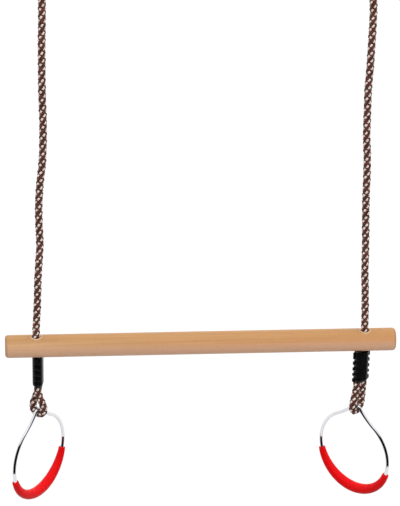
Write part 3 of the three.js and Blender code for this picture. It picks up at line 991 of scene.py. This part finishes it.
def rope_points(side):
    """A rope's route: from inside the lower clamp up through the bar and round the eye."""
    hang_x = side["sign"] * HANGING_X
    strand = sizes().strand_pitch / 2
    x = side["strand_x"]
    points = [(x, 0, z) for z in (SPLIT_Z, ROPE_IN_CLAMP_Z, LOWER_CLAMP_Z + SPLIT_GAP)]
    points += [(px, py, BAR_Z + pz) for px, py, pz in side["route"]]
    foot = UPPER_CLAMP_Z - sizes().clamp_length
    middle = (foot + UPPER_CLAMP_Z) / 2
    points += [(hang_x, strand, z) for z in (foot, middle, UPPER_CLAMP_Z)]
    neck_z = EYE_STRAIGHT - EYE_NECK
    reach = math.hypot(strand, neck_z)
    lean = math.asin(EYE_RADIUS / reach) - math.atan(strand / -neck_z)
    count = round(EYE_RADIUS * (math.pi + 2 * lean) / EYE_STEP)
    points.append((hang_x, strand, THIMBLE_Z + neck_z - EYE_STRAIGHT / 2))
    for i in range(count + 1):
        angle = -lean + i / count * (math.pi + 2 * lean)
        y = EYE_RADIUS * math.cos(angle)
        points.append((hang_x, y, THIMBLE_Z + EYE_RADIUS * math.sin(angle)))
    points.append((hang_x, -strand, THIMBLE_Z + neck_z - EYE_STRAIGHT / 2))
    return points + [(hang_x, -strand, z) for z in (UPPER_CLAMP_Z, middle, foot, TAIL_FOOT_Z)]


def clamp_centre(side):
    strand = sizes().strand_pitch / 2
    turn = side["to_tail"]
    return side["strand_x"] + strand * math.cos(turn), strand * math.sin(turn)


def ring_place(side):
    """Where a gym ring's wire peaks, and which way its plane faces."""
    x, y = clamp_centre(side)
    peak = (x + side["lean"][0], y + side["lean"][1], RING_PEAK_Z)
    return peak, side["to_tail"] + side["twist"] - math.pi / 2


def smooth_share(value, end):
    share = min(max(value / end, 0), 1)
    return share * share * (3 - 2 * share)


def loop_points(side):
    """A loop's route: from the tail's end in the clamp, round the foot and up the main strand."""
    centre_x, centre_y = clamp_centre(side)
    heading = side["to_tail"]

    def place(depth, half):
        turn = heading + smooth_share(depth, LOOP_TWIST_DEPTH) * side["twist"]
        lean = smooth_share(depth, LOOP_DEPTH)
        x = centre_x + half * math.cos(turn) + lean * side["lean"][0]
        y = centre_y + half * math.sin(turn) + lean * side["lean"][1]
        return x, y, LOOP_TOP_Z - depth

    strand = sizes().strand_pitch / 2
    tail = [
        (centre_x + strand * math.cos(heading), centre_y + strand * math.sin(heading), z)
        for z in (TAIL_TOP_Z, *TAIL_IN_CLAMP_ZS)
    ]
    down = [place(depth, half) for depth, half in LOOP_ROUTE]
    up = [place(depth, -half) for depth, half in reversed(LOOP_ROUTE[:-1])]
    return tail + down + up + [(side["strand_x"], 0, SPLIT_Z - SPLIT_GAP)]


def in_clamps(line):
    """How much of its thickness a rope keeps along a line: less where a clamp squeezes it."""
    z = line[:, 2]
    kept = np.ones(len(line))
    for top in (UPPER_CLAMP_Z, LOWER_CLAMP_Z):
        foot = top - sizes().clamp_length
        depth = np.minimum(top - z, z - foot) / SQUEEZE_LENGTH
        kept -= SQUEEZE_SHARE * np.clip(depth + 0.5, 0, 1)
    return kept


class TRAPEZE_OT_ropes(bpy.types.Operator):
    """Braids the two ropes, from the lower clamps through the bar and round the eyes"""

    bl_idname = "trapeze.ropes"
    bl_label = "Ropes"

    def execute(self, context):
        for name, side in SIDES.items():
            line = along_curve(rope_points(side), ROPE_STEP)
            rope = braided_rope(name + "_rope_braid", line, side["braid"], -1)
            attach(rope, "trapeze", "rope", name + "_rope", name + "_rope_eye")
        return {"FINISHED"}


class TRAPEZE_OT_loops(bpy.types.Operator):
    """Braids the two lower loops, below the clamps"""

    bl_idname = "trapeze.loops"
    bl_label = "Rope Loops"

    def execute(self, context):
        for name, side in SIDES.items():
            line = along_curve(loop_points(side), LOOP_STEP)
            rope = braided_rope(name + "_loop_braid", line, side["braid"], 0)
            x, y = clamp_centre(side)
            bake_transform(rope)
            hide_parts(name + "_rope_loop", name + "_rope_tail")
        return {"FINISHED"}


# ---------------------------------------------------------------- bar, clamps and fittings


def drill(centre):
    """What a rope hole takes out of the bar: a bore that flares at both ends, all round."""
    size = sizes()
    rim = size.hole_rim
    half = []
    for i in range(FLARE_STEPS):
        turn = math.radians(FLARE_DEGREES * i)
        out, down = rim * (1 - math.cos(turn)), rim * (1 - math.sin(turn))
        half.append((size.hole_radius + out, size.bar_radius - down))
    widest = half[-1][0] + DRILL_SPREAD
    half += [(widest, size.bar_radius + reach) for reach in DRILL_REACHES]
    profile = [(radius, -z) for radius, z in reversed(half)] + half
    fresh()
    radius, z = profile[0]
    bpy.ops.mesh.primitive_circle_add(
        vertices=DRILL_SIDES, radius=radius, fill_type="NGON", location=(centre, 0, BAR_Z + z)
    )
    bore = named("drill")
    edit(bore)
    everything()
    for (radius, z), (wider, higher) in zip(profile, profile[1:]):
        extrude((0, 0, higher - z))
        resize((wider / radius, wider / radius, 1), (centre, 0, BAR_Z + higher))
    # The flares follow the bar's round, which falls away to its front and back
    flares = [(radius, z) for radius, z in profile if abs(z) > size.bar_radius - rim - NEAR]
    for i in range(1, DRILL_SIDES // 4 + 1):
        for radius, z in flares:
            y = radius * math.sin(math.tau * i / DRILL_SIDES)
            fall = math.sqrt(size.bar_radius**2 - y**2) - size.bar_radius
            pick(bore, "VERT", lambda v: near(abs(v.co.y), y) and near(v.co.z, BAR_Z + z))
            bpy.ops.transform.translate(value=(0, 0, math.copysign(fall, z)))
    merge_and_face_out()
    leave_edit()
    return bore


class TRAPEZE_OT_bar(bpy.types.Operator):
    """Turns the wooden bar, rounds its ends and drills its two rope holes"""

    bl_idname = "trapeze.bar"
    bl_label = "Wooden Bar"

    def execute(self, context):
        size = sizes()
        half = size.bar_length / 2
        fresh()
        bpy.ops.mesh.primitive_cylinder_add(
            vertices=128,
            radius=size.bar_radius,
            depth=size.bar_length,
            location=(0, 0, BAR_Z),
            rotation=(0, math.pi / 2, 0),
        )
        bar = named("bar_wood")
        edit(bar)
        for centre in (-HOLE_X, HOLE_X):
            for away in HOLE_CUTS:
                bisect((centre + away, 0, BAR_Z), (1, 0, 0))
        pick(bar, "EDGE", both(lambda co: near(abs(co.x), half)))
        bevel(size.bar_edge, 8)
        leave_edit()
        carve(bar, *(drill(centre) for centre in (-HOLE_X, HOLE_X)))
        smooth(bar, 40)
        even_normals(bar)
        paint(bar, beech())
        attach(bar, "trapeze", "wood", "bar")
        return {"FINISHED"}


def clamp_sleeve():
    """The clamp's oval sleeve, its top at z = 0, drawn in at its foot."""
    size = sizes()
    radius = size.clamp_thickness / 2
    half_width = size.sleeve_width / 2
    length = size.clamp_length
    fresh()
    bpy.ops.mesh.primitive_cylinder_add(
        vertices=96, radius=radius, depth=length, location=(0, 0, -length / 2)
    )
    sleeve = named("clamp_pattern")
    edit(sleeve)
    for sign in (-1, 1):
        pick(sleeve, "VERT", lambda v: v.co.x * sign > NEAR)
        bpy.ops.transform.translate(value=(sign * (half_width - radius), 0, 0))
    for i in range(FOOT_STEPS + 1):
        turn = i / FOOT_STEPS * math.pi / 2
        z = size.foot_rise * (1 - math.sin(turn)) - length
        inset = size.foot_inset * (1 - math.cos(turn))
        if i < FOOT_STEPS:
            bisect((0, 0, z), (0, 0, 1))
        pick(sleeve, "VERT", lambda v: near(v.co.z, z))
        resize((1 - inset / half_width, 1 - inset / radius, 1), (0, 0, z))
    pick(sleeve, "EDGE", both(lambda co: near(co.z, 0)))
    bevel(CLAMP_TOP_EDGE, 3)
    leave_edit()
    return sleeve


def clamp_fins():
    """The plate down the middle of both narrow sides, from which the notches leave teeth."""
    size = sizes()
    middle = -size.clamp_length / 2
    tall = size.clamp_length - 2 * size.fin_set_back
    half = size.fin_thickness / 2
    fresh()
    bpy.ops.mesh.primitive_plane_add(
        size=1, location=(0, -half, middle), rotation=(math.pi / 2, 0, 0)
    )
    fins = bpy.context.object
    fins.scale = (size.clamp_width, tall, 1)
    fins = named("clamp_fins")
    edit(fins)
    reach = size.clamp_width / 2
    for low, corner in ((True, size.fin_foot_corner), (False, size.fin_top_corner)):
        pick(fins, "VERT", lambda v: near(abs(v.co.x), reach) and (v.co.z < middle) == low)
        bevel(corner, 6, "VERTICES")
    edge = size.fin_edge
    part = FIN_EDGE_SHARE * edge
    layers = [(-half, edge), (-half + part, part), (-half + edge, 0)]
    layers += [(-y, inset) for y, inset in reversed(layers)]
    drawn_in, reached = 0, -half
    for y, inset in layers:
        pick(fins, "VERT", lambda v: near(v.co.y, reached))
        if y > reached:
            extrude((0, y - reached, 0))
        wide = (reach - inset) / (reach - drawn_in)
        high = (tall / 2 - inset) / (tall / 2 - drawn_in)
        resize((wide, 1, high), (0, y, middle))
        drawn_in, reached = inset, y
    merge_and_face_out()
    leave_edit()
    return fins


def clamp_pattern():
    """One clamp: a sleeve round two strands, with a toothed fin down each narrow side."""
    size = sizes()
    length = size.clamp_length
    clamp = clamp_sleeve()
    combine(clamp, clamp_fins(), "UNION")
    cutters = []
    for sign in (-1, 1):
        fresh()
        bpy.ops.mesh.primitive_cylinder_add(
            vertices=48,
            radius=size.strand_bore,
            depth=length + 2 * OVERRUN,
            location=(sign * size.strand_pitch / 2, 0, -length / 2),
        )
        cutters.append(named("strand_bore"))
    cutters += [notch_cutter(depth) for depth in NOTCH_DEPTHS]
    carve(clamp, *cutters)
    smooth(clamp, 38)
    even_normals(clamp)
    paint(clamp, plastic_material())
    return clamp


def notch_cutter(depth):
    """A ring with an oval section, which cuts both fins and dies out round the broad faces."""
    size = sizes()
    fresh()
    bpy.ops.mesh.primitive_torus_add(
        major_radius=size.notch_floor + size.notch_reach,
        minor_radius=size.notch_reach,
        major_segments=144,
        minor_segments=32,
        location=(0, 0, -depth),
    )
    ring = named("notch")
    edit(ring)
    everything()
    resize((1, 1, size.notch_height / 2 / size.notch_reach), (0, 0, -depth))
    leave_edit()
    return ring


class TRAPEZE_OT_clamps(bpy.types.Operator):
    """Moulds one rope clamp and puts its copies above and below the bar"""

    bl_idname = "trapeze.clamps"
    bl_label = "Rope Clamps"

    def execute(self, context):
        pattern = clamp_pattern()
        for name, side in SIDES.items():
            hang = (side["sign"] * HANGING_X, 0, UPPER_CLAMP_Z)
            upper = put(pattern, name + "_upper_clamp_body", hang, math.pi / 2)
            attach(upper, "trapeze", "black_plastic", name + "_upper_clamp")
            place = (*clamp_centre(side), LOWER_CLAMP_Z)
            lower = put(pattern, name + "_lower_clamp_body", place, side["to_tail"])
            attach(lower, "trapeze", "black_plastic", name + "_lower_clamp")
        discard(pattern)
        return {"FINISHED"}


def teardrop(name, profile, lean):
    """A solid teardrop about the X axis: a profile of x and radius, round the top and down two
    legs that lean inwards until they meet."""
    drop = trace(name, [(x, 0, radius) for x, radius in profile])
    spin(ROUND_STEPS, -(math.pi / 2 + lean), (0, 0, 0), (1, 0, 0))
    extrude(Vector((0, -math.sin(lean), -math.cos(lean))) * LEG_LENGTH)
    everything()
    bpy.ops.mesh.remove_doubles(threshold=NEAR / 10)
    bisect((0, 0, 0), (0, 1, 0), clear_inner=True)
    leave_edit()
    mirror_half(drop, "Y")
    return drop


def flipped(outline):
    return [(-x, radius) for x, radius in reversed(outline)]


def thimble_pattern():
    """The grooved teardrop that lines a rope eye, about its round part's centre."""
    lean = math.asin(EYE_RADIUS / EYE_NECK) - math.atan(sizes().strand_pitch / 2 / EYE_NECK)
    groove = []
    for degrees in GROOVE_DEGREES:
        angle = math.radians(degrees)
        depth = EYE_RADIUS - GROOVE_RADIUS * math.cos(angle)
        groove.append((GROOVE_RADIUS * math.sin(angle), depth))
    body = teardrop("thimble_pattern", FLANK + groove + flipped(FLANK), lean)
    edit(body)
    bisect((0, 0, -THIMBLE_FOOT), (0, 0, 1), clear_inner=True, use_fill=True)
    merge_and_face_out()
    leave_edit()
    carve(body, teardrop("thimble_bore", BORE + flipped(BORE), math.asin(BORE_RADIUS / BORE_NECK)))
    smooth(body, 40)
    even_normals(body)
    paint(body, plastic_material())
    return body


class TRAPEZE_OT_thimbles(bpy.types.Operator):
    """Moulds one thimble and puts a copy in each rope eye"""

    bl_idname = "trapeze.thimbles"
    bl_label = "Thimbles"

    def execute(self, context):
        pattern = thimble_pattern()
        for name, side in SIDES.items():
            place = (side["sign"] * HANGING_X, 0, THIMBLE_Z)
            piece = put(pattern, name + "_thimble_body", place, 0)
            attach(piece, "trapeze", "black_plastic", name + "_thimble")
        discard(pattern)
        return {"FINISHED"}


def hanging_ring_pattern():
    """One hanging ring in the XZ plane, with its weld at the left."""
    size = sizes()
    fresh()
    bpy.ops.mesh.primitive_torus_add(
        major_radius=size.hook_ring_radius,
        minor_radius=size.hook_ring_wire,
        major_segments=144,
        minor_segments=20,
        rotation=(math.pi / 2, 0, 0),
    )
    ring = named("hanging_ring_pattern")
    edit(ring)
    weld = Vector((-size.hook_ring_radius, 0, 0))
    for reach, swell in WELD:
        pick(ring, "VERT", lambda v: (v.co - weld).length < reach)
        bpy.ops.transform.shrink_fatten(value=swell)
    leave_edit()
    smooth(ring, 60)
    paint(ring, zinc())
    return ring


class TRAPEZE_OT_hanging_rings(bpy.types.Operator):
    """Bends and welds one hanging ring, and puts a copy at the top of each rope"""

    bl_idname = "trapeze.hanging_rings"
    bl_label = "Hanging Rings"

    def execute(self, context):
        pattern = hanging_ring_pattern()
        for name, side in SIDES.items():
            place = (side["sign"] * HANGING_X, 0, HANGING_RING_Z)
            turn = 0 if side["sign"] < 0 else math.pi
            piece = put(pattern, name + "_hanging_ring_wire", place, turn)
            attach(piece, "hanging_rings", "zinc_steel", name + "_hanging_ring")
        discard(pattern)
        return {"FINISHED"}


# ---------------------------------------------------------------- gym rings


def polar(centre, radius, facing):
    return centre[0] + radius * math.cos(facing), centre[1] + radius * math.sin(facing)


def ring_plan():
    """Steps, turns and centres of the three bends in half of a gym ring, in its own XZ plane."""
    size = sizes()
    top = math.pi / 2 - size.shoulder_top
    foot = math.pi / 2 - size.shoulder_foot
    sines = math.sin(size.shoulder_foot), math.sin(size.shoulder_top)
    shoulder = (size.ring_radius * sines[0] - size.ring_seat * sines[1]) / (sines[1] - sines[0])
    seat_centre = (0, -size.ring_seat)
    shoulder_centre = polar(polar(seat_centre, size.ring_seat, top), shoulder, top)
    shoulder_end = polar(shoulder_centre, -shoulder, foot)
    round_centre = polar(shoulder_end, -size.ring_radius, foot)
    return [
        (SEAT_STEPS, size.shoulder_top, seat_centre),
        (SHOULDER_STEPS, top - foot, shoulder_centre),
        (RING_STEPS, foot + math.pi / 2, round_centre),
    ]


def ring_wire_pattern():
    """One gym ring's wire, its peak at the origin."""
    fresh()
    bpy.ops.mesh.primitive_circle_add(
        vertices=28, radius=sizes().ring_wire, rotation=(0, math.pi / 2, 0)
    )
    wire = named("ring_wire_pattern")
    edit(wire)
    everything()
    for steps, angle, (x, z) in ring_plan():
        spin(steps, angle, (x, 0, z), (0, 1, 0))
    leave_edit()
    mirror_half(wire, "X")
    smooth(wire, 60)
    paint(wire, chrome())
    return wire


def grip_pattern():
    """One grip in its ring's own directions: a tube round the wire, fattest in the middle."""
    size = sizes()
    _, _, (_, round_z) = ring_plan()[-1]
    bore = size.ring_wire + GRIP_CLEARANCE

    def on_ring(turn):
        """The wire's middle at a turn from its lowest point."""
        reach = size.ring_radius
        return Vector((reach * math.sin(turn), 0, round_z - reach * math.cos(turn)))

    def at_turn(turn):
        return lambda co: abs(math.atan2(co.x, round_z - co.z) - turn) < GRIP_SLIP

    def at_end(radius):
        end, middle = at_turn(size.grip_reach), on_ring(size.grip_reach)
        return lambda co: end(co) and abs((co - middle).length - radius) < 100 * NEAR

    circle = {"vertices": GRIP_SIDES, "location": on_ring(0), "rotation": (0, math.pi / 2, 0)}
    fresh()
    bpy.ops.mesh.primitive_circle_add(radius=size.grip_middle, **circle)
    grip = named("grip_pattern")
    edit(grip)
    everything()
    spin(GRIP_STEPS, -size.grip_reach, (0, 0, round_z), (0, 1, 0))
    for i in range(1, GRIP_STEPS + 1):
        turn = size.grip_reach * i / GRIP_STEPS
        swelling = size.grip_middle - size.grip_end
        radius = size.grip_end + swelling * math.cos(turn / size.grip_reach * math.pi / 2)
        there = at_turn(turn)
        pick(grip, "VERT", lambda v: there(v.co))
        resize([radius / size.grip_middle] * 3, on_ring(turn))
    bpy.ops.mesh.primitive_circle_add(radius=bore, **circle)
    spin(GRIP_STEPS, -size.grip_reach, (0, 0, round_z), (0, 1, 0))
    pick(grip, "EDGE", both(at_turn(size.grip_reach)))
    bpy.ops.mesh.bridge_edge_loops()
    pick(grip, "EDGE", both(at_end(size.grip_end)))
    bevel(GRIP_EDGE, 4)
    pick(grip, "EDGE", both(at_end(bore)))
    bevel(GRIP_BORE_EDGE, 2)
    leave_edit()
    mirror_half(grip, "X")
    smooth(grip, 50)
    return grip


class TRAPEZE_OT_gym_rings(bpy.types.Operator):
    """Bends one gym ring's wire and hangs a copy in each rope loop"""

    bl_idname = "trapeze.gym_rings"
    bl_label = "Gym Ring Wires"

    def execute(self, context):
        pattern = ring_wire_pattern()
        for name, side in SIDES.items():
            place, turn = ring_place(side)
            piece = put(pattern, name + "_gym_ring_wire", place, turn)
            attach(piece, name + "_ring", "chrome_wire", name + "_ring_wire")
        discard(pattern)
        return {"FINISHED"}


class TRAPEZE_OT_grips(bpy.types.Operator):
    """Moulds one grip and puts a copy round the lower half of each gym ring"""

    bl_idname = "trapeze.grips"
    bl_label = "Grips"

    def execute(self, context):
        pattern = grip_pattern()
        for name, side in SIDES.items():
            place, turn = ring_place(side)
            piece = put(pattern, name + "_ring_grip", place, turn)
            paint(piece, red_plastic(name + "_grip_red", place, turn))
            attach(piece, name + "_ring", "red_plastic", name + "_grip")
        discard(pattern)
        return {"FINISHED"}


# ---------------------------------------------------------------- stage


def area_lamp(name, place, width, height, power, reflected):
    """A soft lamp that faces the object."""
    data = bpy.data.lights.new(name, "AREA")
    data.shape = "RECTANGLE"
    data.size = width
    data.size_y = height
    data.energy = power
    lamp = bpy.data.objects.new(name, data)
    bpy.context.scene.collection.objects.link(lamp)
    lamp.location = place
    aim = Vector(STAGE_MIDDLE) - Vector(place)
    lamp.rotation_euler = aim.to_track_quat("-Z", "Y").to_euler()
    lamp.visible_glossy = reflected


def add_camera(scene):
    """The photograph's camera, aimed at its target and rolled."""
    view = scene.trapeze_view
    el, yaw, roll = view.elevation, view.yaw, view.roll
    ahead = Vector((math.sin(yaw) * math.cos(el), math.cos(yaw) * math.cos(el), -math.sin(el)))
    right = Vector((math.cos(yaw), -math.sin(yaw), 0))
    up = right.cross(ahead)
    image_x = right * math.cos(roll) + up * math.sin(roll)
    image_y = up * math.cos(roll) - right * math.sin(roll)
    data = bpy.data.cameras.new("camera")
    data.lens = view.lens
    data.sensor_width = SENSOR_WIDTH
    data.clip_end = 100
    camera = bpy.data.objects.new("camera", data)
    scene.collection.objects.link(camera)
    place = Vector(view.target) - ahead * view.distance
    rows = [list(row) for row in zip(image_x, image_y, -ahead, place)]
    camera.matrix_world = Matrix([*rows, [0, 0, 0, 1]])
    scene.camera = camera


def add_world(scene):
    """A white world, with a dark stretch in front that the camera doesn't see."""
    world = bpy.data.worlds.new("white_studio")
    world.use_nodes = True
    scene.world = world
    recipe = Recipe(world)
    heading = recipe.node("ShaderNodeTexCoord", out="Generated")
    _, y, z = recipe.parts(heading)
    room = recipe.step(y, *ROOM_FRONT) * recipe.step(z, *ROOM_FOOT) * recipe.step(z, *ROOM_TOP)
    seen = recipe.node("ShaderNodeLightPath", out="Is Camera Ray")
    light = {"Color": WHITE, "Strength": 1 - room * ROOM_DARKNESS * (1 - seen)}
    background = recipe.node("ShaderNodeBackground", None, light)
    recipe.node("ShaderNodeOutputWorld", None, {"Surface": background})


def add_floor(height):
    """Grey paper that looks white to the camera and that reflections leave out."""
    fresh()
    bpy.ops.mesh.primitive_plane_add(size=40, location=(0, 0, height))
    floor = named("studio_floor")
    recipe = material("floor_paper")
    grey = (FLOOR_GREY, FLOOR_GREY, FLOOR_GREY, 1)
    paper = recipe.node("ShaderNodeBsdfDiffuse", None, {"Color": grey})
    light = {"Color": WHITE, "Strength": FLOOR_GLOW}
    glow = recipe.node("ShaderNodeEmission", None, light)
    share = recipe.node("ShaderNodeLightPath", out="Is Camera Ray") * FLOOR_GLOW_SHARE
    look = recipe.node("ShaderNodeMixShader", None, {0: share, 1: paper, 2: glow})
    recipe.node("ShaderNodeOutputMaterial", None, {"Surface": look})
    paint(floor, recipe.made)
    floor.visible_glossy = False


class TRAPEZE_OT_stage(bpy.types.Operator):
    """Sets up the camera, the soft lamps, the white world and the pale floor"""

    bl_idname = "trapeze.stage"
    bl_label = "Camera, Lamps and Floor"

    def execute(self, context):
        scene = context.scene
        scene.view_settings.view_transform = "Standard"
        add_camera(scene)
        for name, settings in LAMPS.items():
            area_lamp(name, *settings)
        add_world(scene)
        add_floor(scene.trapeze_view.floor_z)
        return {"FINISHED"}


PIECE_OPERATORS = (
    TRAPEZE_OT_stage,
    TRAPEZE_OT_ropes,
    TRAPEZE_OT_loops,
    TRAPEZE_OT_bar,
    TRAPEZE_OT_clamps,
    TRAPEZE_OT_thimbles,
    TRAPEZE_OT_hanging_rings,
    TRAPEZE_OT_gym_rings,
    TRAPEZE_OT_grips,
)


class TRAPEZE_PT_panel(bpy.types.Panel):
    """Lists the trapeze's pieces, sizes and colours in the 3D view's sidebar"""

    bl_idname = "TRAPEZE_PT_panel"
    bl_label = "Trapeze"
    bl_space_type = "VIEW_3D"
    bl_region_type = "UI"
    bl_category = "Trapeze"

    def draw(self, context):
        for operator in PIECE_OPERATORS:
            self.layout.operator(operator.bl_idname)
        scene = context.scene
        for group in (scene.trapeze_sizes, scene.trapeze_colours, scene.trapeze_view):
            box = self.layout.box()
            for field in group.bl_rna.properties:
                if field.identifier not in ("rna_type", "name"):
                    box.prop(group, field.identifier)


CLASSES = (TrapezeSizes, TrapezeColours, TrapezeView, *PIECE_OPERATORS, TRAPEZE_PT_panel)


def register():
    for cls in CLASSES:
        bpy.utils.register_class(cls)
    bpy.types.Scene.trapeze_sizes = bpy.props.PointerProperty(type=TrapezeSizes)
    bpy.types.Scene.trapeze_colours = bpy.props.PointerProperty(type=TrapezeColours)
    bpy.types.Scene.trapeze_view = bpy.props.PointerProperty(type=TrapezeView)


def unregister():
    del bpy.types.Scene.trapeze_view
    del bpy.types.Scene.trapeze_colours
    del bpy.types.Scene.trapeze_sizes
    for cls in reversed(CLASSES):
        bpy.utils.unregister_class(cls)


def main():
    register()
    bpy.ops.trapeze.stage()
    bpy.ops.trapeze.ropes()
    bpy.ops.trapeze.loops()
    bpy.ops.trapeze.bar()
    bpy.ops.trapeze.clamps()
    bpy.ops.trapeze.thimbles()
    bpy.ops.trapeze.hanging_rings()
    bpy.ops.trapeze.gym_rings()
    bpy.ops.trapeze.grips()


if __name__ == "__main__":
    main()
